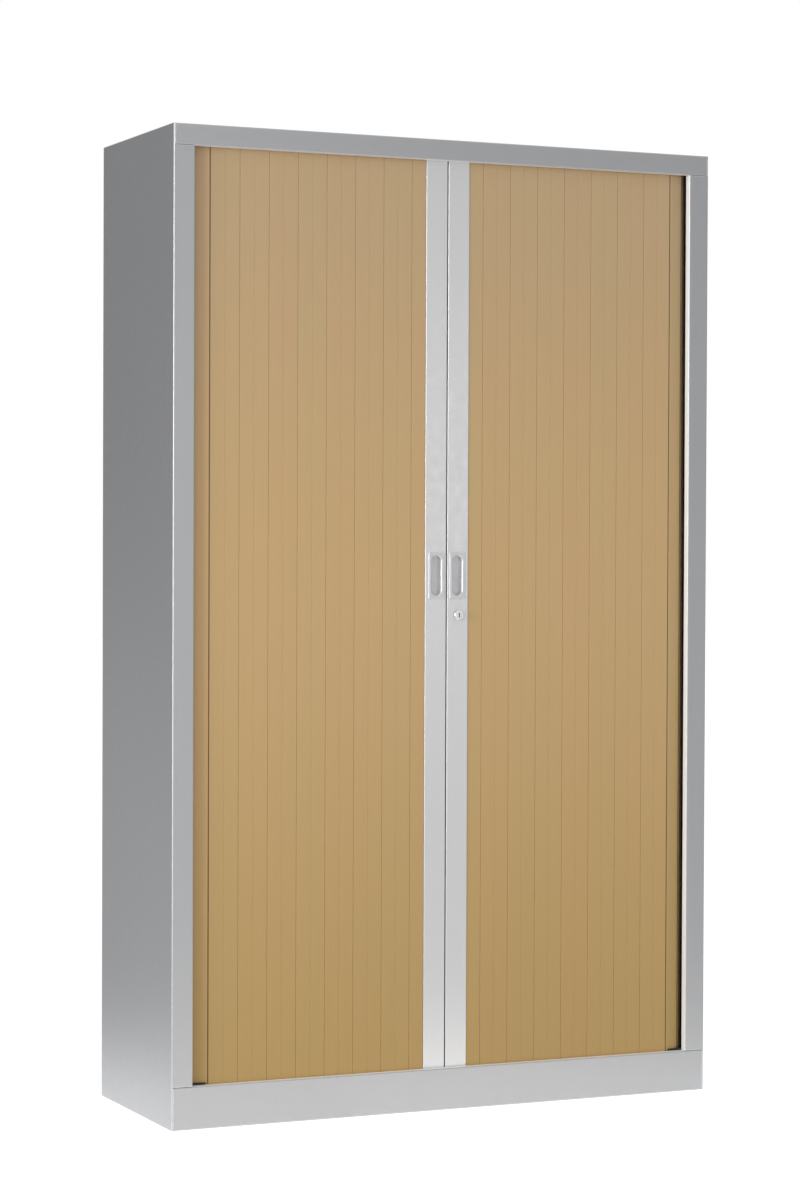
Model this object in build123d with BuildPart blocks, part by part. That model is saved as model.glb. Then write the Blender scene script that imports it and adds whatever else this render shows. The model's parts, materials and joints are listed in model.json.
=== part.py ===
from build123d import *
from math import acos, asin, atan2, cos, degrees, hypot, pi, radians, sin, sqrt
import os

# Tambour cupboard: a casing of folded steel sheet, closed by two curtains of interlocking vertical slats that
# slide apart, round the front corners and back along the sides. Lengths are millimetres. The origin is on the
# floor in the middle of the footprint, +X is to the right, +Y to the back and +Z up.

# Casing
width = 1200.0
depth = 430.0
height = 1980.0
sheet = 1.0  # thickness of the folded sheet
bend = 2.0  # radius of a fold, at the middle of the sheet
jamb_width = 45.0
fascia_height = 42.0
plinth_height = 85.0
return_depth = 15.0  # of the returns round the front opening
hem = 8.0  # folded edge behind a return
flange = 15.0  # side, top and base flanges
plinth_foot = 25.0  # plinth's return along the floor
base_height = 70.0  # upper face of the base panel
seam = 0.3  # gap between two casing pieces that meet flush

# Curtain slats
slat_pitch = 31.2  # from hinge to hinge
slat_front = 5.0  # face, in front of the hinge line
slat_back = 3.0  # back wall, behind the hinge line
slat_wall = 1.2
slat_groove = 0.7  # gap between two faces, at the surface of a straight curtain
slat_edge = 0.4  # chamfer along each face
tail_slats = 3  # slats past the front run when the curtain is closed
bead_radius = 2.0
bead_neck = 1.1
hinge_sides = 8  # flats round a bead and its socket
hinge_clearance = 0.1  # between a bead and its socket
socket_wall = 0.9
claw_reach = 1.9  # of a socket's upper lip, past the hinge
mouth_margin = 6.0  # degrees that a socket opens past the neck's own travel

# Curtain path
curtain_setback = 17.0  # slats' faces, behind the casing's front
side_run = 29.0  # middle of the curtain, from the side's outer face
corner_radius = 48.0  # of the middle of the curtain
rear_run = 240.0  # end of the track along the back, from the side's outer face

# Tracks
track_wall = 1.5
track_floor = 2.0
track_height = 12.0
guard_height = 19.0  # lower track's raised corner
upper_track_height = 24.0
upper_groove = 18.0
slat_play = 0.5  # between the slats and each wall of the groove
lift = 6.0  # above the slats, so that a curtain can be lifted in
relief_run = 16.0  # straight length over which a bend's wider groove goes on

# Lead bars
bar_width = 47.8
bar_wall = 1.5
bar_depth = 15.5
bar_edge = 1.2  # radius of the outer edges
meeting_gap = 2.4  # between the closed bars
bar_clearance = 1.5  # between the bars' ends and the tracks
glide_block = 25.0
glide_length = 40.0
glide_play = 0.4
insert_play = 0.2  # round a piece held inside a bar

# Handles
handle_height = 1093.0
handle_inset = 1.5  # from the bar's middle, towards the other bar
plate_width = 35.0
plate_height = 95.5
plate_corner = 2.5
plate_thickness = 1.8
recess_width = 21.0
recess_height = 81.0
cup_depth = 15.0
cup_wall = 1.5
cup_mouth = 1.4  # chamfer round the recess's mouth
cup_corner = 2.5  # slope between the recess's floor and its wall

# Lock
lock_height = 1012.5
barrel_radius = 10.5
barrel_stand = 9.5  # in front of the bar
barrel_edge = 1.0
shank_radius = 9.0
plug_radius = 6.0
plug_play = 0.05
plug_sink = 0.5
key_slot_width = 2.2
key_slot_height = 9.0
key_slot_depth = 6.0
tail_square = 6.8
cam_thickness = 2.0
cam_hub = 8.0
hook_wall = 5.0
hook_play = 0.7  # between the hook and the keeper's nose
hook_overlap = 12.0  # degrees by which the locked hook passes the keeper's middle
hook_sweep = 50.0  # degrees from the hook's tip to its arm
arm_width = 7.0
nut_width = 24.0
nut_thickness = 4.0
screw_head = 4.5
screw_head_height = 2.4
screw_shank = 2.0
screw_length = 9.0
keeper_thickness = 2.0
keeper_height = 26.0
nose_height = 12.0
nose_reach = 6.0  # behind the bar

# Liners
liner_setback = 62.0
liner_edge = 12.0
liner_gap = 3.0  # from the track

# Shelving
upright_width = 25.0
upright_depth = 6.0
upright_sheet = 1.5
front_upright = 110.0  # from the casing's front
upright_gap = 4.5  # from a rear upright to its liner's rounded corner
slot_pitch = 96.0
slot_width = 4.0
slot_height = 14.0
slot_drop = 12.0  # of a clip's slot, below the shelf that it carries
shelf_count = 4
slots_per_shelf = 4
shelf_setback = 80.0
shelf_edge = 25.0
shelf_return = 12.0
shelf_play = 1.5
clip_sheet = 2.0
clip_width = 12.0
clip_reach = 12.0
clip_height = 20.0
clip_play = 0.3

# Base and feet
foot_inset = 75.0  # from the sides, front and back
stud_radius = 5.0
stud_length = 44.0
thread_play = 0.08
bracket_sheet = 1.5
bracket_web = 24.0  # underside of the web, above the floor
bracket_width = 36.0
bracket_length = 40.0
bracket_flange = 12.0
nut_size = 17.0  # across the flats of a foot's welded nut
nut_height = 8.0
pad_radius = 15.0
pad_height = 8.0
hub_size = 17.0  # across the flats
hub_height = 6.0
driver_slot = 1.8  # width and depth of the slot in a stud's top
access_radius = 8.0
cap_radius = 11.0
cap_thickness = 1.5
cap_plug = 4.0
cap_rib = 5.4  # half the side of the cap's square plug
rail_web = 30.0
rail_width = 40.0
rail_flange = 20.0

left = -width / 2
front = -depth / 2
back = depth / 2
half_sheet = sheet / 2

os.makedirs("parts", exist_ok=True)


def save(piece, label):
    """Labels a finished piece and writes it."""
    piece.part.label = label
    export_step(piece.part, f"parts/{label}.step")


def save_pair(left_piece, label):
    """Writes a piece of the left side and its mirror image on the right."""
    save(left_piece, f"{label}_left")
    with BuildPart() as right_piece:
        mirror(left_piece.part, about=Plane.YZ)
    save(right_piece, f"{label}_right")


def folded(points, thickness=sheet, radius=bend):
    """Adds the section of a folded sheet to a sketch: points are the corners of the sheet's middle line."""
    with BuildLine() as middle_line:
        FilletPolyline(*points, radius=radius)
    trace(middle_line.line, line_width=thickness)


def middle(low, high):
    """The point half way between two corners."""
    return tuple((a + b) / 2 for a, b in zip(low, high))


def spans(low, high):
    """The sizes between two corners."""
    return tuple(b - a for a, b in zip(low, high))


def block(low, high):
    """Adds a plain block between two corners."""
    with Locations(middle(low, high)):
        Box(*spans(low, high))


def cut_block(low, high):
    """Cuts a plain block between two corners away."""
    with Locations(middle(low, high)):
        Box(*spans(low, high), mode=Mode.SUBTRACT)


def notch(ends, x_size, y_from, y_to, z_low, z_high):
    """Cuts the same notch at both ends of a piece that runs from side to side: ends is half its length."""
    cut_block((-ends - 1, y_from, z_low), (x_size - ends, y_to, z_high))
    cut_block((ends - x_size, y_from, z_low), (ends + 1, y_to, z_high))


def facing(y):
    """A sketch plane seen from the front, at depth y. Its normal points to the front."""
    return Plane.XZ.offset(-y)


def turned(base, amount, radius, places, mode=Mode.ADD):
    """Adds or cuts upright cylinders from one height."""
    with BuildSketch(Plane.XY.offset(base)) as section:
        with Locations(*places):
            Circle(radius)
    extrude(section.sketch, amount=amount, mode=mode)


# Casing ----------------------------------------------------------------------------------------------------------

side_inner = left + sheet
fold_end = left + bend + sheet  # where a front piece meets the side's front fold
jamb_low = plinth_height + seam
jamb_high = height - fascia_height - seam

# One sheet from the floor to the top: rear flange, side, front fold, jamb and inner return. The jamb is cut away
# where the plinth and the fascia run across the full front.
with BuildPart() as side_panel:
    with BuildSketch(Plane.XY):
        folded(
            [
                (left + sheet + flange, back - half_sheet),
                (left + half_sheet, back - half_sheet),
                (left + half_sheet, front + half_sheet),
                (left + jamb_width - half_sheet, front + half_sheet),
                (left + jamb_width - half_sheet, front + return_depth),
            ]
        )
    extrude(amount=height)
    cut_block((fold_end, front - 1, 0), (left + jamb_width + 1, front + return_depth + 1, jamb_low))
    cut_block((fold_end, front - 1, jamb_high), (left + jamb_width + 1, front + return_depth + 1, height))
save_pair(side_panel, "side_panel")

front_ends = fold_end + seam
end_sweep = 2 * -front_ends

with BuildPart() as plinth:
    with BuildSketch(Plane.YZ.offset(front_ends)):
        folded(
            [
                (front + return_depth - half_sheet, plinth_height - hem),
                (front + return_depth - half_sheet, plinth_height - half_sheet),
                (front + half_sheet, plinth_height - half_sheet),
                (front + half_sheet, half_sheet),
                (front + plinth_foot, half_sheet),
            ]
        )
    extrude(amount=end_sweep)
save(plinth, "plinth")

# Fascia, top and rear flange in one sheet. The top lies between the side panels and has side flanges welded
# to them. It is cut back at each corner for the side's front and rear folds.
top_rear = back - 2 * sheet
with BuildPart() as top_panel:
    with BuildSketch(Plane.YZ.offset(side_inner)):
        folded(
            [
                (front + return_depth - half_sheet, height - fascia_height + hem),
                (front + return_depth - half_sheet, height - fascia_height + half_sheet),
                (front + half_sheet, height - fascia_height + half_sheet),
                (front + half_sheet, height - half_sheet),
                (top_rear - half_sheet, height - half_sheet),
                (top_rear - half_sheet, height - flange),
            ]
        )
    extrude(amount=2 * -side_inner)
    for end in (side_inner, -side_inner - sheet):
        block((end, front + return_depth, height - flange), (end + sheet, top_rear, height - half_sheet))
    notch(-side_inner, front_ends - side_inner, front, front + bend + sheet, height - fascia_height, height)
    notch(-side_inner, bend, top_rear - bend, back, height - flange, height)
save(top_panel, "top_panel")

# Tray with all four edges folded down. Its front edge is welded to the plinth's hem.
base_front = front + return_depth
underside = base_height - sheet
foot_x = -left - foot_inset
foot_y = (front + foot_inset, back - foot_inset)
foot_places = [(x, y) for x in (-foot_x, foot_x) for y in foot_y]
with BuildPart() as base_panel:
    with BuildSketch(Plane.YZ.offset(side_inner)):
        folded(
            [
                (base_front + half_sheet, base_height - flange),
                (base_front + half_sheet, base_height - half_sheet),
                (top_rear - half_sheet, base_height - half_sheet),
                (top_rear - half_sheet, base_height - flange),
            ]
        )
    extrude(amount=2 * -side_inner)
    for end in (side_inner, -side_inner - sheet):
        block((end, base_front + bend, base_height - flange), (end + sheet, top_rear - bend, underside))
    notch(-side_inner, bend, top_rear - bend, back, base_height - flange, base_height)
    turned(base_height, -sheet, access_radius, foot_places, Mode.SUBTRACT)
save(base_panel, "base_panel")

rail_front = base_front + sheet + bend
rail_rear = top_rear - sheet - bend
with BuildPart() as base_rail:
    with BuildSketch(facing(rail_front)):
        folded(
            [
                (-rail_width / 2 - rail_flange, underside - half_sheet),
                (-rail_width / 2, underside - half_sheet),
                (-rail_width / 2, rail_web),
                (rail_width / 2, rail_web),
                (rail_width / 2, underside - half_sheet),
                (rail_width / 2 + rail_flange, underside - half_sheet),
            ],
            radius=0,
        )
    extrude(amount=rail_front - rail_rear)
save(base_rail, "base_rail")

with BuildPart() as back_panel:
    with BuildSketch(facing(top_rear)):
        with Locations((0, (height - sheet) / 2)):
            Rectangle(2 * (-side_inner - bend), height - sheet)
    extrude(amount=-sheet)
save(back_panel, "back_panel")

# Curtain path ----------------------------------------------------------------------------------------------------

slat_thickness = slat_front + slat_back
groove = slat_thickness + 2 * slat_play
front_run_y = front + curtain_setback + slat_thickness / 2
side_run_x = left + side_run
rear_run_y = top_rear - sheet - bend - track_wall - groove / 2
hinge_set = (slat_front - slat_back) / 2  # hinge line, behind the curtain's middle
hinge_y = front_run_y + hinge_set
hinge_radius = corner_radius - hinge_set
turn = 2 * degrees(asin(slat_pitch / 2 / hinge_radius))
bend_x = side_run_x + corner_radius
bend_y = front_run_y + corner_radius

lead_x = -meeting_gap / 2 - bar_width  # the left curtain's first hinge
front_slats = int(round((lead_x - bend_x) / slat_pitch, 6))
travel = front_slats * slat_pitch


def next_hinge(x, y):
    """The hinge one pitch further along the left curtain: straight, round the front corner, along the side."""
    if x - slat_pitch > bend_x - slat_play:
        return x - slat_pitch, y
    if y >= bend_y:
        return x, y + slat_pitch
    reach = hypot(bend_x - x, bend_y - y)
    swing = acos((reach**2 + hinge_radius**2 - slat_pitch**2) / (2 * reach * hinge_radius))
    angle = atan2(bend_x - x, bend_y - y) + swing
    if angle <= pi / 2:
        return bend_x - hinge_radius * sin(angle), bend_y - hinge_radius * cos(angle)
    side_x = bend_x - hinge_radius
    return side_x, y + sqrt(slat_pitch**2 - (x - side_x) ** 2)


hinges = [(lead_x, hinge_y)]
for _ in range(front_slats + tail_slats):
    hinges.append(next_hinge(*hinges[-1]))
slat_places = [
    Location((x, y, 0), (0, 0, degrees(atan2(next_y - y, next_x - x))))
    for (x, y), (next_x, next_y) in zip(hinges, hinges[1:])
]

# Tracks ----------------------------------------------------------------------------------------------------------

# A flat slat cuts the corner: its middle runs inside the hinges' path by its sagitta, so that the groove is
# wider on the inner side of each bend.
bend_relief = hinge_radius * (1 - cos(radians(turn / 2)))
track_width = groove + 2 * track_wall
track_start = -meeting_gap / 4
outer_radius = corner_radius + groove / 2


def path_corners(inset, reach):
    """Corners of the middle line round the front and rear bends, moved to their inner sides."""
    front_legs = (bend_x + reach, front_run_y + inset), (side_run_x + inset, bend_y + reach)
    rear_y = rear_run_y - corner_radius
    rear_legs = (side_run_x + inset, rear_y - reach), (bend_x + reach, rear_run_y - inset)
    return (
        (front_legs[0], (side_run_x + inset, front_run_y + inset), front_legs[1]),
        (rear_legs[0], (side_run_x + inset, rear_run_y - inset), rear_legs[1]),
    )


def run_band(band_width):
    """Adds a band of one width along the whole track, and widens it to the inside at each bend."""
    corners = [
        (track_start, front_run_y),
        (side_run_x, front_run_y),
        (side_run_x, rear_run_y),
        (left + rear_run, rear_run_y),
    ]
    folded(corners, thickness=band_width, radius=corner_radius)
    for bend_corners in path_corners(bend_relief / 2, relief_run):
        folded(bend_corners, thickness=band_width + bend_relief, radius=corner_radius - bend_relief / 2)


with BuildSketch() as track_outline:
    run_band(track_width)

with BuildSketch() as track_groove:
    run_band(groove)

# Fills the square corner outside the front bend.
with BuildSketch() as corner_guard:
    outer_x, outer_y = side_run_x - track_width / 2, front_run_y - track_width / 2
    with Locations(((outer_x + bend_x) / 2, (outer_y + bend_y) / 2)):
        Rectangle(bend_x - outer_x, bend_y - outer_y)
    with Locations((bend_x, bend_y)):
        Circle(outer_radius, mode=Mode.SUBTRACT)

groove_floor = base_height + track_floor
track_top = base_height + track_height
with BuildPart() as lower_track:
    with BuildSketch(Plane.XY.offset(base_height)):
        add(track_outline.sketch)
    extrude(amount=track_height)
    with BuildSketch(Plane.XY.offset(groove_floor)):
        add(track_groove.sketch)
    extrude(amount=track_height, mode=Mode.SUBTRACT)
    with BuildSketch(Plane.XY.offset(base_height)):
        add(corner_guard.sketch)
    extrude(amount=guard_height)
save_pair(lower_track, "lower_track")

top_underside = height - sheet
upper_track_low = top_underside - upper_track_height
with BuildPart() as upper_track:
    with BuildSketch(Plane.XY.offset(upper_track_low)):
        add(track_outline.sketch)
    extrude(amount=upper_track_height)
    with BuildSketch(Plane.XY.offset(upper_track_low)):
        add(track_groove.sketch)
    extrude(amount=upper_groove, mode=Mode.SUBTRACT)
save_pair(upper_track, "upper_track")

# Slats -----------------------------------------------------------------------------------------------------------

# A slat's section has its leading hinge at the origin, +X along the slat away from the lead bar and +Y to the
# curtain's face. The bead at one edge snaps into the socket of the slat before it, and the socket's mouth lets
# the neck swing back as the curtain rounds a bend.
socket_inner = bead_radius + hinge_clearance
socket_outer = socket_inner + socket_wall
body_start = socket_outer + slat_edge
body_end = slat_pitch - socket_inner - slat_edge
slat_low = groove_floor
slat_high = upper_track_low + upper_groove - lift


def between(low, high, mode=Mode.ADD):
    """Adds or cuts a rectangle between two corners of a sketch."""
    with Locations(middle(low, high)):
        Rectangle(*spans(low, high), mode=mode)


def socket(x):
    """Adds the section of a claw round a hinge, with its mouth towards +X."""
    neck_angle = degrees(asin(bead_neck / 2 / socket_inner))
    opening = radians(mouth_margin + neck_angle)
    closing = -radians(turn + mouth_margin + neck_angle)
    reach = 2 * socket_outer
    between((x - socket_outer, -socket_outer), (x + claw_reach, socket_outer))
    with Locations((x, 0)):
        RegularPolygon(socket_inner, hinge_sides, major_radius=False, mode=Mode.SUBTRACT)
    with BuildLine() as mouth:
        Polyline(
            (x, 0),
            (x + reach * cos(opening), reach * sin(opening)),
            (x + reach * cos(closing), reach * sin(closing)),
            close=True,
        )
    make_face(mouth.edges(), mode=Mode.SUBTRACT)


with BuildSketch() as slat_section:
    between((body_start, -slat_back), (body_end, slat_front))
    between((slat_groove / 2, slat_front - slat_wall), (slat_pitch - slat_groove / 2, slat_front))
    chamfer(slat_section.vertices().group_by(Axis.Y)[-1], length=slat_edge)
    socket(slat_pitch)
    chamber_end = slat_pitch - socket_outer - slat_wall
    between((body_start + slat_wall, slat_wall - slat_back), (chamber_end, slat_front - slat_wall), Mode.SUBTRACT)
    between((0, -bead_neck / 2), (body_start + slat_wall / 2, bead_neck / 2))
    RegularPolygon(bead_radius, hinge_sides)


def slats(places):
    """Adds one slat for each place."""
    with BuildSketch(Plane.XY.offset(slat_low)) as sections:
        with Locations(*places):
            add(slat_section.sketch)
    extrude(sections.sketch, amount=slat_high - slat_low)


with BuildPart() as curtain_front:
    slats(slat_places[:front_slats])
save_pair(curtain_front, "curtain_front")

with BuildPart() as curtain_tail:
    slats(slat_places[front_slats:])
save_pair(curtain_tail, "curtain_tail")

# Lead bars -------------------------------------------------------------------------------------------------------

bar_low = track_top + bar_clearance
bar_high = upper_track_low - bar_clearance
bar_face = hinge_y - slat_front - bar_wall
bar_rear = bar_face + bar_depth
bar_middle = lead_x + bar_width / 2
handle_x = bar_middle + handle_inset
bar_back = slat_front + bar_wall - bar_depth  # in the section's own frame
slat_side = -(socket_inner + slat_edge)

# The bar's section has the curtain's first hinge at the origin: a channel with rounded front edges and, on the
# slat side, a socket for the first slat's bead.
with BuildSketch() as bar_section:
    between((-bar_width, slat_front), (-slat_groove / 2, slat_front + bar_wall))
    fillet(bar_section.vertices().group_by(Axis.Y)[-1], radius=bar_edge)
    between((slat_side - bar_wall, bar_back), (slat_side, slat_front + bar_wall / 2))
    between((-bar_width, bar_back), (bar_wall - bar_width, slat_front + bar_wall / 2))
    socket(0)

with BuildPart() as bar_channel:
    with BuildSketch(Plane.XY.offset(bar_low)):
        with Locations(Location((lead_x, hinge_y, 0), (0, 0, 180))):
            add(bar_section.sketch)
    extrude(amount=bar_high - bar_low)
    with BuildSketch(facing(bar_face)):
        with Locations((handle_x, handle_height)):
            cut_height = recess_height + 2 * (cup_wall + insert_play)
            SlotOverall(cut_height, recess_width + 2 * (cup_wall + insert_play), rotation=90)
    extrude(amount=-bar_wall, mode=Mode.SUBTRACT)

with BuildPart() as handle_cup:
    with BuildSketch(facing(bar_face)):
        with Locations((handle_x, handle_height)):
            RectangleRounded(plate_width, plate_height, plate_corner)
    extrude(amount=plate_thickness)
    chamfer(handle_cup.faces().sort_by(Axis.Y)[0].edges(), length=plate_thickness / 3)
    with BuildSketch(facing(bar_face)):
        with Locations((handle_x, handle_height)):
            SlotOverall(recess_height + 2 * cup_wall, recess_width + 2 * cup_wall, rotation=90)
    extrude(amount=-cup_depth)
    with BuildSketch(facing(bar_face - plate_thickness)):
        with Locations((handle_x, handle_height)):
            SlotOverall(recess_height, recess_width, rotation=90)
    extrude(amount=-(plate_thickness + cup_depth - cup_wall), mode=Mode.SUBTRACT)
    plate_front, *_, recess_floor, _ = handle_cup.faces().filter_by(Axis.Y).sort_by(Axis.Y)
    chamfer(plate_front.inner_wires()[0].edges(), length=cup_mouth)
    chamfer(recess_floor.edges(), length=cup_corner)
save_pair(handle_cup, "handle_cup")

# Glides close the bars' ends and run in the tracks. Each has a block held inside the channel and a tongue in
# the groove.
glide_low_x = lead_x - slat_side + bar_wall + insert_play
glide_high_x = lead_x + bar_width - bar_wall - insert_play
glide_front = bar_face + bar_wall
tongue_half = groove / 2 - glide_play


def glide(block_z, tongue_z):
    """Adds one glide: the block and the tongue each span two heights."""
    block((glide_low_x, glide_front, block_z[0]), (glide_high_x, bar_rear, block_z[1]))
    with BuildSketch(Plane.XY.offset(tongue_z[0])) as tongue:
        with Locations((bar_middle, front_run_y)):
            Rectangle(glide_length, 2 * tongue_half)
        chamfer(tongue.vertices(), length=tongue_half / 2)
    extrude(tongue.sketch, amount=tongue_z[1] - tongue_z[0])


with BuildPart() as lower_glide:
    glide((bar_low, bar_low + glide_block), (groove_floor + glide_play, bar_low))
save_pair(lower_glide, "lower_glide")

with BuildPart() as upper_glide:
    glide((bar_high - glide_block, bar_high), (bar_high, slat_high))
save_pair(upper_glide, "upper_glide")

# Lock ------------------------------------------------------------------------------------------------------------

lock_x = -bar_middle
barrel_front = bar_face - barrel_stand
shank_rear = bar_rear - sheet / 2
cam_front = bar_rear + sheet
cam_rear = cam_front + cam_thickness
keeper_far = -(meeting_gap / 2 + bar_wall + keeper_thickness)
nose_rear = bar_rear + nose_reach
nose_corner = hypot(lock_x - keeper_far, nose_height / 2)
hook_inner = nose_corner + hook_play
hook_outer = hook_inner + hook_wall


def rod(y_start, y_end, radius, places, mode=Mode.ADD):
    """Adds or cuts a cylinder along Y between two depths, once for each (x, z) place."""
    with BuildSketch(facing(y_start)) as section:
        with Locations(*places):
            Circle(radius)
    extrude(section.sketch, amount=-(y_end - y_start), mode=mode)


lock_place = [(lock_x, lock_height)]
save(bar_channel, "lead_bar_left")
with BuildPart() as lead_bar_right:
    mirror(bar_channel.part, about=Plane.YZ)
    rod(bar_face, bar_face + bar_wall, shank_radius + insert_play, lock_place, Mode.SUBTRACT)
save(lead_bar_right, "lead_bar_right")

with BuildPart() as lock_housing:
    rod(barrel_front, bar_face, barrel_radius, lock_place)
    chamfer(lock_housing.edges().group_by(Axis.Y)[0], length=barrel_edge)
    rod(bar_face, shank_rear, shank_radius, lock_place)
    rod(barrel_front, shank_rear, plug_radius + plug_play, lock_place, Mode.SUBTRACT)
save(lock_housing, "lock_housing")

with BuildPart() as lock_nut:
    with BuildSketch(facing(bar_face + bar_wall)):
        with Locations(*lock_place):
            RegularPolygon(nut_width / 2, 6, major_radius=False)
            Circle(shank_radius + plug_play, mode=Mode.SUBTRACT)
    extrude(amount=-nut_thickness)
save(lock_nut, "lock_nut")

# The plug turns in the housing. Its square tail carries the cam.
plug_front = barrel_front + plug_sink
with BuildPart() as lock_plug:
    rod(plug_front, shank_rear, plug_radius, lock_place)
    with BuildSketch(facing(shank_rear)):
        with Locations(*lock_place):
            Rectangle(tail_square, tail_square)
    extrude(amount=-(cam_rear - shank_rear))
    with BuildSketch(facing(plug_front)):
        with Locations(*lock_place):
            Rectangle(key_slot_width, key_slot_height)
    extrude(amount=-key_slot_depth, mode=Mode.SUBTRACT)
    rod(cam_rear - screw_length, cam_rear, screw_shank + plug_play, lock_place, Mode.SUBTRACT)
save(lock_plug, "lock_plug")

# The unlocked hook hangs below the plug. A quarter turn towards the other bar takes it round the keeper's nose.
tip_angle = 270 - hook_overlap
with BuildSketch() as cam_section:
    Circle(cam_hub)
    with BuildLine():
        CenterArc((0, 0), (hook_inner + hook_outer) / 2, tip_angle, hook_sweep)
    trace(line_width=hook_wall)
    with BuildLine():
        PolarLine((0, 0), hook_outer, tip_angle + hook_sweep)
    trace(line_width=arm_width)
    Rectangle(tail_square + 2 * plug_play, tail_square + 2 * plug_play, mode=Mode.SUBTRACT)

with BuildPart() as lock_cam:
    with BuildSketch(facing(cam_front)):
        with Locations(*lock_place):
            add(cam_section.sketch)
    extrude(amount=-cam_thickness)
save(lock_cam, "lock_cam")

with BuildPart() as cam_screw:
    rod(cam_rear, cam_rear + screw_head_height, screw_head, lock_place)
    rod(cam_rear - screw_length + insert_play, cam_rear, screw_shank, lock_place)
save(cam_screw, "cam_screw")

# Plate welded inside the left bar's meeting flange, with a nose behind the bar that the hook passes round.
keeper_front = bar_face + bar_wall + nut_thickness / 2
with BuildPart() as lock_keeper:
    for (y_low, y_high), z_size in (((keeper_front, bar_rear), keeper_height), ((bar_rear, nose_rear), nose_height)):
        block(
            (keeper_far, y_low, lock_height - z_size / 2),
            (keeper_far + keeper_thickness, y_high, lock_height + z_size / 2),
        )
save(lock_keeper, "lock_keeper")

# Liners ----------------------------------------------------------------------------------------------------------

# One sheet between the stored curtain and the contents: front edge, side, rounded rear corner, wing along the
# back, and an end folded back to the back panel.
liner_face = left + jamb_width
liner_x = liner_face - half_sheet
liner_front = front + liner_setback
wing_y = rear_run_y - track_width / 2 - liner_gap - half_sheet
wing_end = left + rear_run + liner_gap
liner_corner = bend_x - liner_x
corner_y = wing_y - liner_corner  # where the rounded corner starts
with BuildPart() as magazine_liner:
    with BuildSketch(Plane.XY.offset(base_height)):
        with BuildLine():
            corner_start = (liner_x, corner_y)
            FilletPolyline((liner_x + liner_edge, liner_front), (liner_x, liner_front), corner_start, radius=bend)
            RadiusArc(corner_start, (bend_x, wing_y), liner_corner)
            FilletPolyline((bend_x, wing_y), (wing_end, wing_y), (wing_end, rail_rear), radius=bend)
        trace(line_width=sheet)
    extrude(amount=top_underside - base_height)
save_pair(magazine_liner, "magazine_liner")

# Shelving --------------------------------------------------------------------------------------------------------

# Slotted channels welded to the liners.
upright_x = liner_face + upright_depth
upright_y = (front + front_upright, corner_y - upright_gap - upright_width / 2)
shelf_heights = [base_height + (n + 1) * slots_per_shelf * slot_pitch for n in range(shelf_count)]
slot_room = top_underside - base_height - slot_pitch + slot_drop
slot_heights = [base_height + (n + 1) * slot_pitch - slot_drop for n in range(int(slot_room // slot_pitch))]


def upright(y):
    """Adds one upright of the left side at depth y."""
    half = (upright_width - upright_sheet) / 2
    web = upright_x - upright_sheet / 2
    with BuildSketch(Plane.XY.offset(base_height)) as channel:
        folded([(liner_face, y - half), (web, y - half), (web, y + half), (liner_face, y + half)], upright_sheet, 0)
    extrude(channel.sketch, amount=top_underside - base_height)
    with BuildSketch(Plane.YZ.offset(upright_x)) as slots:
        with Locations(*[(y, z) for z in slot_heights]):
            Rectangle(slot_width, slot_height)
    extrude(slots.sketch, amount=-upright_sheet, mode=Mode.SUBTRACT)


for name, y in zip(("front_upright", "rear_upright"), upright_y):
    with BuildPart() as slotted_upright:
        upright(y)
    save_pair(slotted_upright, name)

shelf_front = front + shelf_setback
shelf_rear = wing_y - half_sheet - shelf_play
shelf_half = -upright_x - shelf_play
notch_x = shelf_half + bend_x + shelf_play  # clears the liners' rounded corners
notch_y = corner_y - shelf_play
for number, level in enumerate(shelf_heights, start=1):
    low = level - shelf_edge + half_sheet
    with BuildPart() as shelf:
        with BuildSketch(Plane.YZ.offset(-shelf_half)):
            folded(
                [
                    (shelf_front + shelf_return, low),
                    (shelf_front + half_sheet, low),
                    (shelf_front + half_sheet, level - half_sheet),
                    (shelf_rear - half_sheet, level - half_sheet),
                    (shelf_rear - half_sheet, low),
                    (shelf_rear - shelf_return, low),
                ],
                radius=(0, bend, bend, 0),
            )
        extrude(amount=2 * shelf_half)
        notch(shelf_half, notch_x, notch_y, back, level - shelf_edge, level)
    save(shelf, f"shelf_{number}")

# A clip's tab carries the shelf, its plate lies on the upright and its tongue is hooked into a slot.
with BuildPart() as left_clips:
    for level in shelf_heights:
        seat = level - sheet
        for y in upright_y:
            half = clip_width / 2
            block((upright_x, y - half, seat - clip_height), (upright_x + clip_sheet, y + half, seat))
            block((upright_x, y - half, seat - clip_sheet), (upright_x + clip_reach, y + half, seat))
            tongue_side = slot_width / 2 - clip_play
            tongue_end = slot_height / 2 - clip_play
            centre = level - slot_drop
            block(
                (upright_x - upright_sheet - clip_sheet, y - tongue_side, centre - tongue_end),
                (upright_x, y + tongue_side, centre + tongue_end),
            )
with BuildPart() as shelf_clips:
    add(left_clips.part)
    mirror(left_clips.part, about=Plane.YZ)
save(shelf_clips, "shelf_clips")

# Levelling feet --------------------------------------------------------------------------------------------------

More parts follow.
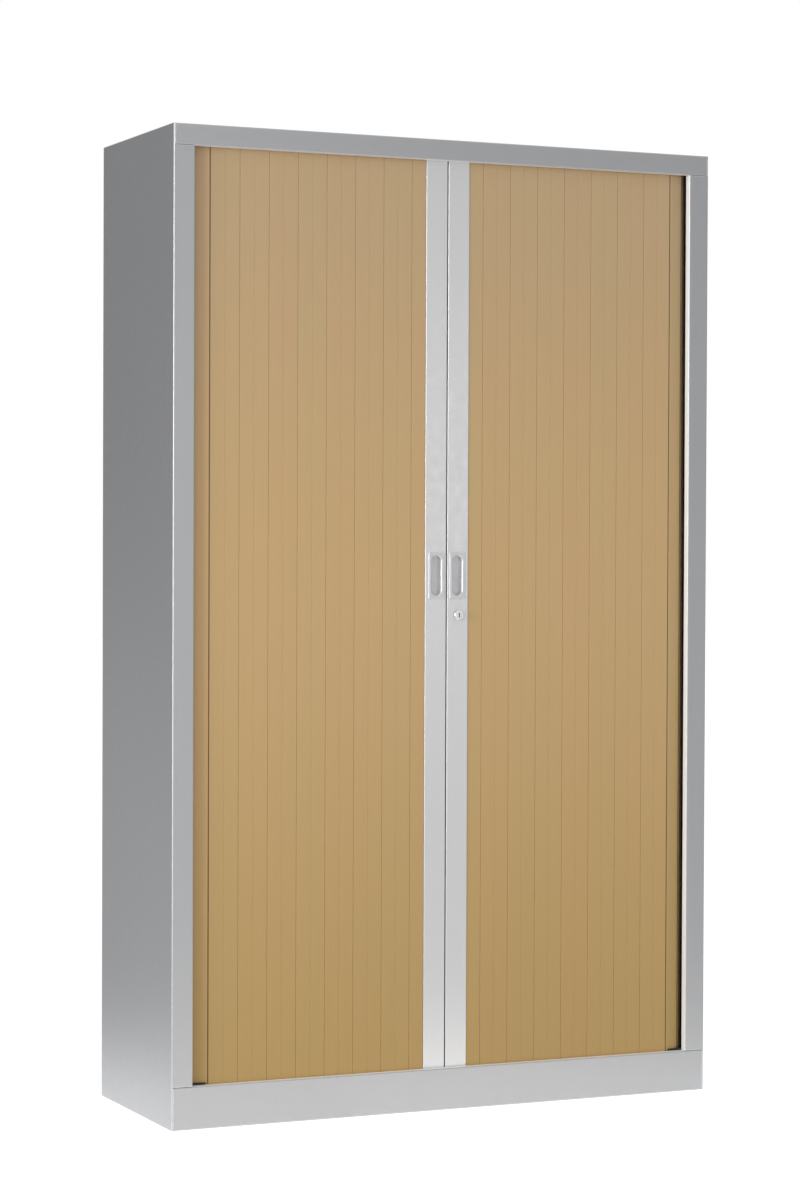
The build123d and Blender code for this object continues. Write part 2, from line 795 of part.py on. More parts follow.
# A folded bracket with a nut welded on it, under each access hole.
web_middle = bracket_web + bracket_sheet / 2
web_top = bracket_web + bracket_sheet
leg_top = underside - bracket_sheet / 2
half_web = (bracket_width - bracket_sheet) / 2
with BuildPart() as foot_brackets:
    for x, y in foot_places:
        with BuildSketch(facing(y - bracket_length / 2)):
            folded(
                [
                    (x - half_web - bracket_flange, leg_top),
                    (x - half_web, leg_top),
                    (x - half_web, web_middle),
                    (x + half_web, web_middle),
                    (x + half_web, leg_top),
                    (x + half_web + bracket_flange, leg_top),
                ],
                bracket_sheet,
                0,
            )
        extrude(amount=-bracket_length)
    with BuildSketch(Plane.XY.offset(web_top)):
        with Locations(*foot_places):
            RegularPolygon(nut_size / 2, 6, major_radius=False)
    extrude(amount=nut_height)
    turned(bracket_web, bracket_sheet + nut_height, stud_radius + thread_play, foot_places, Mode.SUBTRACT)
save(foot_brackets, "foot_brackets")

with BuildPart() as access_caps:
    turned(base_height, cap_thickness, cap_radius, foot_places)
    for x, y in foot_places:
        block((x - cap_rib, y - cap_rib, base_height - cap_plug), (x + cap_rib, y + cap_rib, base_height))
save(access_caps, "access_caps")

foot_names = [f"{side}_{end}" for side in ("left", "right") for end in ("front", "rear")]
for name, place in zip(foot_names, foot_places):
    with BuildPart() as foot_pad:
        turned(0, pad_height, pad_radius, [place])
        with BuildSketch(Plane.XY.offset(pad_height)):
            with Locations(place):
                RegularPolygon(hub_size / 2, 6, major_radius=False)
        extrude(amount=hub_height)
    save(foot_pad, f"foot_pad_{name}")
    with BuildPart() as foot_stud:
        turned(pad_height + hub_height, stud_length, stud_radius, [place])
        with BuildSketch(Plane.XY.offset(pad_height + hub_height + stud_length)):
            with Locations(place):
                Rectangle(2 * stud_radius, driver_slot)
        extrude(amount=-driver_slot, mode=Mode.SUBTRACT)
    save(foot_stud, f"foot_stud_{name}")
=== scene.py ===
import json
import math

import bmesh
import bpy
from mathutils import Matrix, Vector


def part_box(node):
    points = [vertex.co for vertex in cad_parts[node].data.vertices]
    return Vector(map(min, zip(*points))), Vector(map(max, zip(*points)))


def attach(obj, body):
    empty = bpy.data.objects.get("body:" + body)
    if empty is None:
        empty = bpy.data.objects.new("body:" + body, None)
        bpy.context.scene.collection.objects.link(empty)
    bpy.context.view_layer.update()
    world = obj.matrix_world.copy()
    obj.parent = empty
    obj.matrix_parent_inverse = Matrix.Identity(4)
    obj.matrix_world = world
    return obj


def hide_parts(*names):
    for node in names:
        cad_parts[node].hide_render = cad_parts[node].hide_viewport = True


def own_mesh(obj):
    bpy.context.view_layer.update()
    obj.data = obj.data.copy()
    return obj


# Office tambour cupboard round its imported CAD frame. Lengths are metres in the frame's own axes:
# +X right, +Y to the back, +Z up, with the origin on the floor in the middle of the footprint.

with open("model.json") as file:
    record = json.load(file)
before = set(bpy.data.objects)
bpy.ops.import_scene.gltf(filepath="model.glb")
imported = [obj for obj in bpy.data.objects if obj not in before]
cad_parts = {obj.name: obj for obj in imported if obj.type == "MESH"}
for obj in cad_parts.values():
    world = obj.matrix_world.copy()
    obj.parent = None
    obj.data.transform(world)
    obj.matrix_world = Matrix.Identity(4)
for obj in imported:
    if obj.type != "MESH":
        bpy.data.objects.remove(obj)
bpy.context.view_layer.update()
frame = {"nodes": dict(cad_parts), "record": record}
nodes = frame["nodes"]

MM = 0.001

# The curtains, with the sizes of the CAD model. The route is the left curtain's.
FRONT_SLATS = 15
TAIL_SLATS = 3
LEAD_X = -49.0 * MM  # first hinge
HINGE_Y = -193.0 * MM  # hinges of the front run
BEND_X = -523.0 * MM  # centre of the front corner
BEND_Y = -146.0 * MM
HINGE_RADIUS = BEND_Y - HINGE_Y  # of the hinges' way round the corner
BEND_SLACK = 0.5 * MM  # how far past the corner's start a hinge still counts as on the front

# A slat's section has u along the slat from its leading hinge, and v towards the curtain's face
SLAT_LOW, SLAT_HIGH = (corner.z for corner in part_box("curtain_front_left"))
SLAT_PITCH = 31.2 * MM
SLAT_FRONT = 5.0 * MM  # v of the face
SLAT_BACK = 3.0 * MM  # -v of the back
SLAT_WALL = 1.2 * MM
BEAD = 2.0 * MM  # radius
NECK = 0.55 * MM  # half its thickness
SOCKET = BEAD + 0.1 * MM  # radius, with the hinge's clearance
SOCKET_LIPS = -60, -335  # degrees of its rear and front lip, with the claw's wall between
CLAW = SOCKET + 0.9 * MM  # radius, with the claw's wall
CLAW_REACH = 1.9 * MM  # how far the claw's front lip goes past its hinge
HEEL_REACH = 1.725 * MM  # and its rear lip
BODY_MARGIN = 0.4 * MM  # between the body and what turns round its leading hinge
BODY_START = CLAW + BODY_MARGIN  # u
BODY_END = SLAT_PITCH - SOCKET - BODY_MARGIN
FACE_UNDER = SLAT_FRONT - SLAT_WALL  # v of the underside of the face's lips

# The curtains' looks, which are not in the CAD model
CROWN = 0.1 * MM  # how much a slat's face falls off towards its edges
CROWN_STEPS = 4  # from the middle of the face to each edge
FACE_GUARD = 0.25 * MM  # last strips of the face, so that the turn at its edges ends there
GROOVE_ROUNDING = 0.6  # radius of a groove's edges, as a share of its width
CORNER_GROOVE = 1.3 * MM
PAIR_GROOVE = 0.5 * MM  # between two pairs of slats
INNER_GROOVE = 0.16 * MM  # between the two slats of a pair
SMOOTH_TURN = math.radians(35.0)


# Nodes -------------------------------------------------------------------------------------------


class Graph:
    """A node tree, with short calls that add nodes and link them."""

    def __init__(self, tree):
        self.tree = tree

    def add(self, kind, inputs=(), **settings):
        """A new node. inputs pairs the names or numbers of its sockets with what they get."""
        node = self.tree.nodes.new(kind)
        for name, value in settings.items():
            setattr(node, name, value)
        for key, value in dict(inputs).items():
            self.feed(node.inputs[key], value)
        return node

    def feed(self, socket, value):
        """Links an output to a socket, or writes a number, vector or colour on it."""
        if hasattr(value, "links"):
            self.tree.links.new(value, socket)
        elif isinstance(value, tuple) and socket.type == "RGBA":
            socket.default_value = (*value, 1.0)
        else:
            socket.default_value = value

    def math(self, operation, *values):
        node = self.add("ShaderNodeMath", enumerate(values), operation=operation)
        return node.outputs["Value"]

    def product(self, first, *others):
        for other in others:
            first = self.math("MULTIPLY", first, other)
        return first

    def coordinates(self, scale=(1.0, 1.0, 1.0)):
        """Object coordinates, stretched along each axis."""
        place = self.add("ShaderNodeTexCoord").outputs["Object"]
        node = self.add("ShaderNodeMapping", {"Vector": place, "Scale": scale})
        return node.outputs["Vector"]

    def axes(self, vector):
        return self.add("ShaderNodeSeparateXYZ", {"Vector": vector}).outputs

    def noise(self, scale, detail=2.0, roughness=0.5, stretch=(1.0, 1.0, 1.0)):
        inputs = {"Scale": scale, "Detail": detail, "Roughness": roughness}
        inputs["Vector"] = self.coordinates(stretch)
        return self.add("ShaderNodeTexNoise", inputs).outputs["Fac"]

    def span(self, source, low, high, start=0.3, end=0.7, smooth=False):
        """Maps a factor from start..end to low..high."""
        inputs = {"From Min": start, "From Max": end, "To Min": low, "To Max": high}
        inputs["Value"] = source
        kind = "SMOOTHSTEP" if smooth else "LINEAR"
        return self.add("ShaderNodeMapRange", inputs, interpolation_type=kind).outputs["Result"]

    def mix(self, factor, first, second, blend="MIX"):
        """A colour between two: each is a colour or an output."""
        node = self.add("ShaderNodeMix", {"Factor": factor}, data_type="RGBA", blend_type=blend)
        colours = [socket for socket in node.inputs if socket.type == "RGBA"]
        self.feed(colours[0], first)
        self.feed(colours[1], second)
        return next(socket for socket in node.outputs if socket.type == "RGBA")

    def multiply(self, first, second):
        return self.mix(1.0, first, second, "MULTIPLY")

    def inside(self, low, high):
        """1 within a box in object coordinates, 0 outside it."""
        return self.product(
            *(
                self.math("COMPARE", axis, (a + b) / 2, (b - a) / 2)
                for axis, a, b in zip(self.axes(self.coordinates()), low, high)
            )
        )


EDGE_TURN = 0.86, 0.99  # cosines of the turn at a full edge and on a flat face


class Shader(Graph):
    """A material with its Principled BSDF."""

    def __init__(self, name):
        self.material = bpy.data.materials.new(name)
        self.material.use_nodes = True
        super().__init__(self.material.node_tree)
        self.bsdf = self.tree.nodes["Principled BSDF"]

    def set(self, **values):
        """Feeds the BSDF's inputs. A name has an underscore for each space."""
        for name, value in values.items():
            self.feed(self.bsdf.inputs[name.replace("_", " ")], value)

    def bump(self, height, distance, strength, normal=None):
        inputs = {"Distance": distance, "Strength": strength, "Height": height}
        if normal:
            inputs["Normal"] = normal
        return self.add("ShaderNodeBump", inputs).outputs["Normal"]

    def rounded(self, radius):
        """The normal that the surface would have with rounded edges."""
        return self.add("ShaderNodeBevel", {"Radius": radius}, samples=5).outputs["Normal"]

    def edges(self, radius):
        """1 along an edge, 0 on a flat face."""
        normals = self.rounded(radius), self.add("ShaderNodeNewGeometry").outputs["Normal"]
        turned = self.add("ShaderNodeVectorMath", enumerate(normals), operation="DOT_PRODUCT")
        return self.span(turned.outputs["Value"], 1.0, 0.0, *EDGE_TURN)

    def openness(self, reach):
        """Share of the surroundings within reach that is free: 0 deep in a gap, 1 in the open."""
        node = self.add("ShaderNodeAmbientOcclusion", {"Distance": reach}, samples=8)
        return node.outputs["AO"]


def shade(colour, factor):
    return tuple(c * factor for c in colour)


def grey(level):
    return level, level, level


# Materials ---------------------------------------------------------------------------------------

CASING_GREY = 0.475, 0.48, 0.49
BAR_GREY = 0.655, 0.655, 0.66
HANDLE_GREY = 0.62, 0.62, 0.63
CHROME = 0.72, 0.72, 0.73
ZINC = 0.56, 0.57, 0.58
BLACK = 0.012, 0.012, 0.013
# near-black painted into the key slot as its shade
UNLIT = grey(0.015)

# Paint
EDGE_HIGHLIGHT = 0.8  # how far a painted highlight lightens an edge towards the highlight's tone
# tone of the painted highlight along the edges
EDGE_HIGHLIGHT_TONE = 0.93, 0.93, 0.94
RETURN_PAINTED_LIGHT = grey(0.9)  # painted light: the opening's returns are painted lighter, standing for the light they catch
RETURN_METALLIC = 0.15
CREVICE_AIR = 0.1, 0.32  # openness at which a gap's painted shade is darkest, and gone
CREVICE_SHADE = 0.12

# Slats
# painted light and shade by height: the slats' tone at each height stands in for how the light
# falls along the curtain
SLAT_PAINTED_LIGHT_TONES = (0.43, 0.288, 0.112), (0.478, 0.325, 0.155), (0.43, 0.305, 0.17)
SLAT_HEIGHTS = 0.1, 1.1, 1.95  # z of these tones
SLAT_TINTS = (0.994, 0.964, 0.971), (0.977, 0.982, 0.971)  # each slat's own lies between them
GRAIN = 420.0, 420.0, 5.0  # grains in a metre along each axis
FINE_GRAIN = 1700.0, 1700.0, 14.0
GROOVE_PAINTED_SHADE = 0.7  # how far the grooves are painted towards a shadow tone, standing for the shade in them
# darkness of that painted groove shadow, as a share of the lowest slat tone
GROOVE_SHADOW_FACTOR = 0.2

# Other plastics and metals
PLASTIC_EDGE_HIGHLIGHT = 0.7  # how far an edge's painted highlight goes towards its lighter tone
METAL_EDGE = 0.2 * MM

# Boxes in which a finish is painted lighter or darker, standing for light and shade
KEY_SLOT = 2.4 * MM, 6.9 * MM, 9.2 * MM  # sizes of the box just round the slot, which is painted unlit black as the slot's shade
KEY_SLOT_SINK = 0.1 * MM  # from the plug's front to the box's
RETURNS_START, RETURNS_END = 1.5 * MM, 16.0 * MM  # behind the casing's front
RETURNS_SIDES = 0.3 * MM  # past the opening's sides
RETURNS_FOOT, RETURNS_HEAD = 6.0 * MM, 5.0 * MM  # below and above the opening


def key_slot():
    """Box round the key slot, in object coordinates."""
    width, depth, height = KEY_SLOT
    low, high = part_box("lock_housing")
    middle = (low + high) / 2
    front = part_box("lock_plug")[0].y + KEY_SLOT_SINK
    return (
        (middle.x - width / 2, front, middle.z - height / 2),
        (middle.x + width / 2, front + depth, middle.z + height / 2),
    )


def opening_returns():
    """Box round the returns of the front opening, in object coordinates."""
    left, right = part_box("side_panel_left")[1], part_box("side_panel_right")[0]
    foot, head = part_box("plinth")[1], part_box("top_panel")[0]
    return (
        (left.x - RETURNS_SIDES, head.y + RETURNS_START, foot.z - RETURNS_FOOT),
        (right.x + RETURNS_SIDES, head.y + RETURNS_END, head.z + RETURNS_HEAD),
    )


def metallic_paint(name, colour, roughness, metallic, edge, fold, returns=None, crevice=None):
    """Silver powder coat: fine flakes, faint clouds, orange peel, and a painted highlight along
    the edges. fold is the radius at which its edges look rounded. returns is a box whose faces are
    painted lighter, standing for the light they catch. Painted shade darkens gaps about as narrow
    as crevice."""
    s = Shader(name)
    clouds = s.span(s.noise(2.2, 3.0), 0.0, 1.0)
    flakes = s.span(s.noise(900.0, 2.0), 0.0, 1.0)
    peel = s.noise(420.0, 3.0)
    tint = s.mix(clouds, shade(colour, 0.98), shade(colour, 1.02))
    tint = s.mix(flakes, tint, shade(colour, 1.04))
    # painted highlight: edges are lightened, standing for the light that rounded folds catch
    tint = s.mix(s.product(s.edges(edge), EDGE_HIGHLIGHT), tint, EDGE_HIGHLIGHT_TONE)
    shine = metallic
    # painted shade: gaps as narrow as crevice are darkened by their openness, standing for the
    # shade in them
    if crevice:
        painted_shade = s.span(s.openness(crevice), 1.0, 0.0, *CREVICE_AIR)
        tint = s.mix(painted_shade, tint, shade(colour, CREVICE_SHADE))
    # painted light: the returns are painted lighter and less metallic, standing for the light they
    # catch
    if returns:
        lighter = s.inside(*returns)
        tint = s.mix(lighter, tint, RETURN_PAINTED_LIGHT)
        shine = s.span(lighter, metallic, RETURN_METALLIC, 0.0, 1.0)
    s.set(Base_Color=tint, Metallic=shine)
    s.set(Roughness=s.span(s.noise(60.0, 2.0), roughness - 0.03, roughness + 0.03))
    s.set(Normal=s.bump(peel, 0.03 * MM, 0.5, s.rounded(fold)))
    return s.material


def slat_plastic(name):
    """Matt extruded plastic, drawn along the slat. Each slat has a tint of its own. Its tone
    changes with height as painted light and shade, and the grooves carry painted shade."""
    s = Shader(name)
    own = s.add("ShaderNodeAttribute", attribute_name="tint").outputs["Fac"]
    # painted shade mask of the grooves
    painted_shade = s.add("ShaderNodeAttribute", attribute_name="groove").outputs["Fac"]
    height = s.axes(s.coordinates())["Z"]
    grain = s.noise(1.0, 4.0, 0.6, GRAIN)
    fine = s.noise(1.0, 3.0, 0.6, FINE_GRAIN)
    low, middle, high = SLAT_PAINTED_LIGHT_TONES
    foot, waist, head = SLAT_HEIGHTS
    # painted light and shade by height
    tint = s.mix(s.span(height, 0.0, 1.0, foot, waist, smooth=True), low, middle)
    tint = s.mix(s.span(height, 0.0, 1.0, waist, head, smooth=True), tint, high)
    tint = s.multiply(tint, s.mix(own, *SLAT_TINTS))
    tint = s.multiply(tint, s.mix(s.span(grain, 0.0, 0.5, 0.25, 0.75), grey(1.03), grey(0.97)))
    tint = s.multiply(tint, s.mix(s.span(fine, 0.0, 0.35, 0.35, 0.75), grey(1.03), grey(0.93)))
    # painted shade in the grooves, standing for their shadow
    tint = s.mix(s.product(painted_shade, GROOVE_PAINTED_SHADE), tint, shade(low, GROOVE_SHADOW_FACTOR))
    s.set(Base_Color=tint, Roughness=s.span(fine, 0.5, 0.62), Specular_IOR_Level=0.3)
    s.set(Normal=s.bump(fine, 0.03 * MM, 0.6))
    return s.material


def moulded(name, colour, roughness, metallic=0.0, edge=0.4 * MM, edge_highlight=1.5):
    """Moulded plastic with a faint spark-eroded texture and a painted highlight along its edges. A
    silver pigment makes it metallic."""
    s = Shader(name)
    spark = s.noise(1500.0, 3.0)
    clouds = s.span(s.noise(40.0, 3.0), 0.0, 1.0)
    tint = s.mix(clouds, shade(colour, 0.95), shade(colour, 1.04))
    # painted highlight: edges are lightened, standing for the light they catch
    tint = s.mix(s.product(s.edges(edge), PLASTIC_EDGE_HIGHLIGHT), tint, shade(colour, edge_highlight))
    s.set(Base_Color=tint, Metallic=metallic)
    s.set(Roughness=s.span(spark, roughness - 0.05, roughness + 0.06))
    s.set(Normal=s.bump(spark, 0.02 * MM, 0.6, s.rounded(edge)))
    return s.material


def bright_metal(name, colour, roughness, marks, painted_shade_box=None):
    """Plated metal. marks is how many of its fine marks go in a metre along each axis. The last
    argument is a box painted unlit black, standing for the shade inside it."""
    s = Shader(name)
    wear = s.noise(1.0, 3.0, 0.6, marks)
    tint = s.mix(s.span(wear, 0.0, 1.0), shade(colour, 0.93), shade(colour, 1.04))
    if painted_shade_box:
        # painted shade: the key slot's inside is painted unlit black
        tint = s.mix(s.inside(*painted_shade_box), tint, UNLIT)
    s.set(Base_Color=tint, Metallic=1.0)
    s.set(Roughness=s.span(wear, roughness - 0.04, roughness + 0.06))
    s.set(Normal=s.bump(wear, 0.01 * MM, 0.4, s.rounded(METAL_EDGE)))
    return s.material


looks = {
    "casing_paint": (
        metallic_paint,
        dict(
            colour=CASING_GREY,
            roughness=0.40,
            metallic=0.8,
            edge=2.4 * MM,
            fold=1.2 * MM,
            returns=opening_returns(),
        ),
    ),
    "interior_paint": (
        metallic_paint,
        dict(colour=CASING_GREY, roughness=0.42, metallic=0.6, edge=1.5 * MM, fold=0.6 * MM),
    ),
    "lead_bar": (
        metallic_paint,
        dict(
            colour=BAR_GREY,
            roughness=0.24,
            metallic=0.52,
            edge=2.0 * MM,
            fold=2.5 * MM,
            crevice=8.0 * MM,
        ),
    ),
    "slat_plastic": (slat_plastic, {}),
    "track_plastic": (moulded, dict(colour=BLACK, roughness=0.5)),
    "black_plastic": (moulded, dict(colour=BLACK, roughness=0.45)),
    "handle_plastic": (
        moulded,
        dict(colour=HANDLE_GREY, roughness=0.28, metallic=0.5, edge=1.2 * MM, edge_highlight=1.6),
    ),
    "lock_chrome": (
        bright_metal,
        dict(colour=CHROME, roughness=0.14, marks=(60.0, 60.0, 60.0), painted_shade_box=key_slot()),
    ),
    "zinc_steel": (bright_metal, dict(colour=ZINC, roughness=0.36, marks=(300.0, 300.0, 25.0))),
}
finishes = {name: make(name, **look) for name, (make, look) in looks.items()}
for entry in frame["record"]["subparts"]:
    mesh = nodes[entry["node"]].data
    mesh.materials.clear()
    mesh.materials.append(finishes[entry["material_slot"]])


# Slats -------------------------------------------------------------------------------------------


def add_object(name, data):
    thing = bpy.data.objects.new(name, data)
    bpy.context.scene.collection.objects.link(thing)
    return thing


def arc(u, v, radius, start, end, steps):
    """Points round (u, v), between two angles in degrees."""
    angles = [math.radians(start + (end - start) * n / steps) for n in range(steps + 1)]
    return [(u + radius * math.cos(a), v + radius * math.sin(a)) for a in angles]


def slat_outline(lead_groove, trail_groove):
    """Section of one slat, with half of the visible groove taken at each edge of its face."""
    neck_angle = math.degrees(math.asin(NECK / BEAD))
    start, end = lead_groove / 2, SLAT_PITCH - trail_groove / 2
    lead_edge, trail_edge = GROOVE_ROUNDING * lead_groove, GROOVE_ROUNDING * trail_groove
    face_start, face_end = start + lead_edge, end - trail_edge
    middle, half = (face_start + face_end) / 2, (face_end - face_start) / 2
    last = 1 - FACE_GUARD / half
    inner = [n / CROWN_STEPS for n in range(CROWN_STEPS - 1, -CROWN_STEPS, -1)]
    shoulder = SLAT_FRONT - CROWN

    points = arc(0.0, 0.0, BEAD, neck_angle, 360 - neck_angle, 16)
    points += [(BODY_START, -NECK), (BODY_START, -SLAT_BACK)]
    points += [(SLAT_PITCH + HEEL_REACH, -SLAT_BACK)]
    points += arc(SLAT_PITCH, 0.0, SOCKET, *SOCKET_LIPS, 14)
    points += [(SLAT_PITCH + CLAW_REACH, CLAW), (BODY_END, CLAW)]
    points += [(BODY_END, FACE_UNDER), (end, FACE_UNDER)]
    points += arc(face_end, shoulder - trail_edge, trail_edge, 0, 90, 4)
    for part in (last, *inner, -last):
        points.append((middle + part * half, SLAT_FRONT - CROWN * part * part))
    points += arc(face_start, shoulder - lead_edge, lead_edge, 90, 180, 4)
    points += [(start, FACE_UNDER), (BODY_START, FACE_UNDER), (BODY_START, NECK)]
    return points


def next_hinge(x, y):
    """The left curtain's hinge one pitch after (x, y): on the front, round the corner or along
    the side."""
    if x - SLAT_PITCH > BEND_X - BEND_SLACK:
        return x - SLAT_PITCH, y
    if y >= BEND_Y:
        return x, y + SLAT_PITCH
    reach = math.hypot(BEND_X - x, BEND_Y - y)
    cosine = (reach**2 + HINGE_RADIUS**2 - SLAT_PITCH**2) / (2 * reach * HINGE_RADIUS)
    angle = math.atan2(BEND_X - x, BEND_Y - y) + math.acos(cosine)
    if angle <= math.pi / 2:
        return BEND_X - HINGE_RADIUS * math.sin(angle), BEND_Y - HINGE_RADIUS * math.cos(angle)
    side_x = BEND_X - HINGE_RADIUS
    return side_x, y + math.sqrt(SLAT_PITCH**2 - (x - side_x) ** 2)


hinges = [(LEAD_X, HINGE_Y)]
for _ in range(FRONT_SLATS + TAIL_SLATS):
    hinges.append(next_hinge(*hinges[-1]))


def groove(number):
    """Width of the visible groove at a hinge. The slats are extruded in pairs, so every second
    groove is tighter."""
    if number >= FRONT_SLATS:
        return CORNER_GROOVE
    return INNER_GROOVE if number % 2 == 0 else PAIR_GROOVE


def slat_tint(number, side):
    """A slat's own place between SLAT_TINTS. The two slats of a pair are alike."""
    return 0.5 + 0.5 * math.sin(2.4 * ((number + 1) // 2) + 1.7 * side)


def smooth_outwards(mesh):
    """Turns the faces outwards, and makes them smooth where they meet at less than SMOOTH_TURN."""
    work = bmesh.new()
    work.from_mesh(mesh)
    bmesh.ops.recalc_face_normals(work, faces=work.faces)
    for edge in work.edges:
        edge.smooth = len(edge.link_faces) == 2 and edge.calc_face_angle() < SMOOTH_TURN
    for face in work.faces:
        face.smooth = len(face.verts) == 4
    work.to_mesh(mesh)
    work.free()


def slat_mesh(name, first, last, side):
    """One mesh with the slats from first up to last, on the left (-1) or right (+1)."""
    vertices, faces, tints, painted_shade = [], [], [], []
    for n in range(first, last):
        (x, y), (next_x, next_y) = hinges[n], hinges[n + 1]
        along = Vector((next_x - x, next_y - y)).normalized()
        across = Vector((-along.y, along.x))  # towards the curtain's face
        outline = slat_outline(groove(n), groove(n + 1))
        places = [Vector((x, y)) + u * along + v * across for u, v in outline]
        ring = len(outline)
        base = len(vertices)
        for z in (SLAT_LOW, SLAT_HIGH):
            vertices += [(-side * p.x, p.y, z) for p in places]
            tints += [slat_tint(n, side)] * ring
            # painted shade mask: 1 on the groove walls and the claw under the face
            painted_shade += [float(CLAW <= v <= FACE_UNDER) for _, v in outline]
        low = list(range(base, base + ring))
        high = [i + ring for i in low]
        faces += [low[::-1], high]
        for i in range(ring):
            j = (i + 1) % ring
            faces.append((low[i], low[j], high[j], high[i]))
    mesh = bpy.data.meshes.new(name)
    mesh.from_pydata(vertices, [], faces)
    for attribute, values in (("tint", tints), ("groove", painted_shade)):
        mesh.attributes.new(attribute, "FLOAT", "POINT").data.foreach_set("value", values)
    mesh.update()
    mesh.materials.append(finishes["slat_plastic"])
    smooth_outwards(mesh)
    return add_object(name, mesh)


for side, word in ((-1, "left"), (1, "right")):
    run = slat_mesh(f"front_slats_{word}", 0, FRONT_SLATS, side)
    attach(run, "casing")
    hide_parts(f"curtain_front_{word}")
    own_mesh(run)
    tail = slat_mesh(f"tail_slats_{word}", FRONT_SLATS, FRONT_SLATS + TAIL_SLATS, side)
    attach(tail, "casing")
    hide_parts(f"curtain_tail_{word}")


# Floor and world ---------------------------------------------------------------------------------

FLOOR_HALF = 30  # half its side
FLOOR_SEEN = 0.65  # added to the floor as the camera sees it, so that it is white
FLOOR_MIRRORED = 0.85  # added to it near the object, as reflections show it
FLOOR_FADE = 0.4, 1.9  # distances from the origin between which that fades
FLOOR_TONES = 0.74, 0.5  # in front of the object, and behind it
FLOOR_TURN = -1.0, 1.0  # y between which they change over

AMBIENT = 0.86  # world's strength on diffuse surfaces

# The studio's strengths, as reflections show it
AHEAD = 0.50  # to the front and left
BAND = 2.6  # added in a band over the horizon
RIGHT_LOSS = 0.24  # taken off to the right
BEHIND = 0.14
OVERHEAD = 0.45  # added overhead

# Where they fade, as limits of a part of the direction
AHEAD_FADE = -0.3, 0.3  # y
RIGHT_FADE = 0.36, 0.52  # x
OVERHEAD_FADE = 0.25, 0.6  # z
BAND_FOOT, BAND_TOP = (-0.02, 0.01), (0.035, 0.075)  # z
BAND_LEFT, BAND_RIGHT = (0.35, 0.4), (0.44, 0.49)  # x


def floor_material():
    """White to the camera, and a pale glow round the object in reflections."""
    s = Shader("floor")
    path = s.add("ShaderNodeLightPath").outputs
    distance = s.add("ShaderNodeVectorMath", {0: s.coordinates()}, operation="LENGTH")
    near = s.span(distance.outputs["Value"], FLOOR_MIRRORED, 0.0, *FLOOR_FADE, smooth=True)
    rear = s.span(s.axes(s.coordinates())["Y"], 0.0, 1.0, *FLOOR_TURN, smooth=True)
    mirrored = s.product(path["Is Glossy Ray"], near)
    glow = s.math("MULTIPLY_ADD", path["Is Camera Ray"], FLOOR_SEEN, mirrored)
    s.set(Base_Color=s.mix(rear, *map(grey, FLOOR_TONES)), Roughness=0.9, Specular_IOR_Level=0.0)
    s.set(Emission_Color=grey(1.0), Emission_Strength=glow)
    return s.material


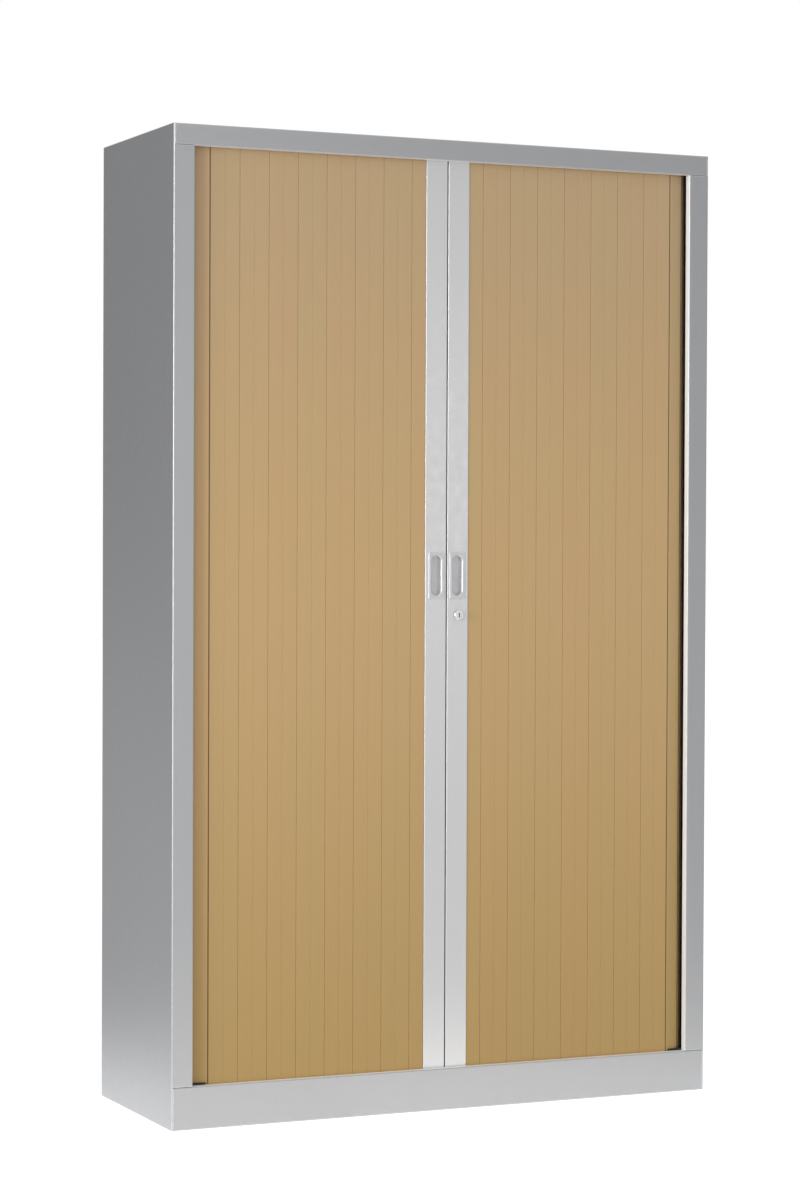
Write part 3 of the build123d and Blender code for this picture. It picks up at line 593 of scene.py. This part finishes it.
def studio():
    """White to the camera, even light on diffuse surfaces, and a studio in reflections."""
    world = bpy.data.worlds.new("studio")
    world.use_nodes = True
    w = Graph(world.node_tree)
    path = w.add("ShaderNodeLightPath").outputs
    x, y, z = w.axes(w.add("ShaderNodeTexCoord").outputs["Generated"])
    band = w.product(
        w.span(z, 0.0, BAND, *BAND_FOOT, smooth=True),
        w.span(z, 1.0, 0.0, *BAND_TOP, smooth=True),
        w.span(x, 0.0, 1.0, *BAND_LEFT),
        w.span(x, 1.0, 0.0, *BAND_RIGHT),
    )
    loss = w.span(x, 0.0, RIGHT_LOSS, *RIGHT_FADE, smooth=True)
    ahead = w.math("SUBTRACT", w.math("ADD", AHEAD, band), loss)
    facing = w.span(y, 1.0, 0.0, *AHEAD_FADE, smooth=True)
    around = w.math("MULTIPLY_ADD", facing, w.math("SUBTRACT", ahead, BEHIND), BEHIND)
    overhead = w.span(z, 0.0, 1.0, *OVERHEAD_FADE, smooth=True)
    mirrored = w.math("MULTIPLY_ADD", overhead, OVERHEAD, around)
    seen = w.math("MAXIMUM", w.product(path["Is Glossy Ray"], mirrored), path["Is Camera Ray"])
    others = w.product(w.math("SUBTRACT", 1.0, path["Is Glossy Ray"]), AMBIENT)
    background = w.tree.nodes["Background"]
    w.feed(background.inputs["Color"], grey(1.0))
    w.feed(background.inputs["Strength"], w.math("MAXIMUM", seen, others))
    return world


corners = [(x * FLOOR_HALF, y * FLOOR_HALF, 0) for x, y in ((-1, -1), (1, -1), (1, 1), (-1, 1))]
floor_mesh = bpy.data.meshes.new("floor")
floor_mesh.from_pydata(corners, [], [(0, 1, 2, 3)])
floor_mesh.materials.append(floor_material())
floor = add_object("floor", floor_mesh)
bpy.context.scene.world = studio()


# Lights and camera -------------------------------------------------------------------------------

# Camera fitted to the casing's corners
CAMERA = -2.652, -5.873, 1.155
YAW, PITCH, ROLL = math.radians(24.181), math.radians(-1.027), math.radians(0.226)
LENS = 91.83
SENSOR = 36.0


def area_light(name, place, target, width, height, watts):
    data = bpy.data.lights.new(name, "AREA")
    data.shape = "RECTANGLE"
    data.size, data.size_y, data.energy = width, height, watts
    lamp = add_object(name, data)
    lamp.location = place
    lamp.rotation_euler = (Vector(target) - Vector(place)).to_track_quat("-Z", "Y").to_euler()
    lamp.visible_camera = False


def fitted_camera():
    data = bpy.data.cameras.new("camera")
    data.lens = LENS
    data.sensor_width = SENSOR
    data.clip_end = 100.0
    ahead = math.sin(YAW) * math.cos(PITCH), math.cos(YAW) * math.cos(PITCH), math.sin(PITCH)
    forward = Vector(ahead)
    level_right = Vector((math.cos(YAW), -math.sin(YAW), 0.0))
    level_up = level_right.cross(forward)
    right = math.cos(ROLL) * level_right + math.sin(ROLL) * level_up
    up = math.cos(ROLL) * level_up - math.sin(ROLL) * level_right
    rotation = Matrix((right, up, -forward)).transposed()
    camera = add_object("camera", data)
    camera.matrix_world = Matrix.Translation(CAMERA) @ rotation.to_4x4()
    return camera


area_light("key", (-1.6, -4.6, 1.35), (-1.6, 0.0, 1.35), width=4.0, height=2.6, watts=22)
area_light("left", (-7.6, -3.0, 2.0), (-0.6, -0.2, 1.2), width=4.2, height=3.6, watts=330)
bpy.context.scene.camera = fitted_camera()
bpy.context.scene.view_settings.view_transform = "Standard"
